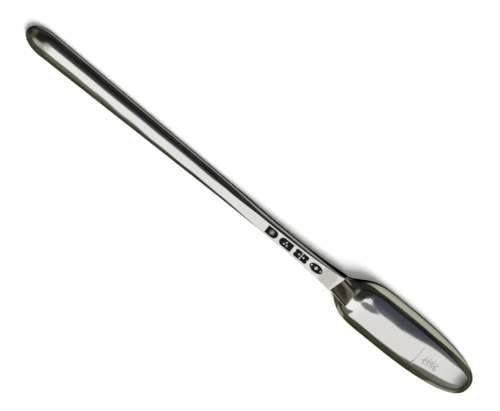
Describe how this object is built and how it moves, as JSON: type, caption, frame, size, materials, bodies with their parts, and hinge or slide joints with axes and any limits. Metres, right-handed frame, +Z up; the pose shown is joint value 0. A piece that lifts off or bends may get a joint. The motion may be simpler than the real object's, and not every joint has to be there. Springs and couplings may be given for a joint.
{
  "type": "marrow scoop",
  "caption": "Slender silver marrow scoop: a long narrow scoop at one end, a wide oval scoop at the other, and a flat-topped stem between them, lying back up on its rims.",
  "frame": {"origin": "middle of the length and width, on the plane of the rims that the scoop lies on", "axes": "+X along the scoop from the narrow scoop's tip to the wide scoop's tip, +Y across, +Z up out of the backs of both scoops"},
  "size_m": [0.2221, 0.0214, 0.0098],
  "materials": {
    "polished_silver": "old hand-polished sterling silver, fine scratches, olive-brown tarnish along the rims, in the tip and at the neck",
    "silver_solder": "silver solder, slightly greyer and more tarnished than the sheet"
  },
  "bodies": {
    "root": {"narrow_scoop": "polished_silver", "scarf_solder": "silver_solder", "stem": "polished_silver", "neck_solder": "silver_solder", "wide_scoop": "polished_silver", "heel_drop": "polished_silver"}
  },
  "joints": []
}
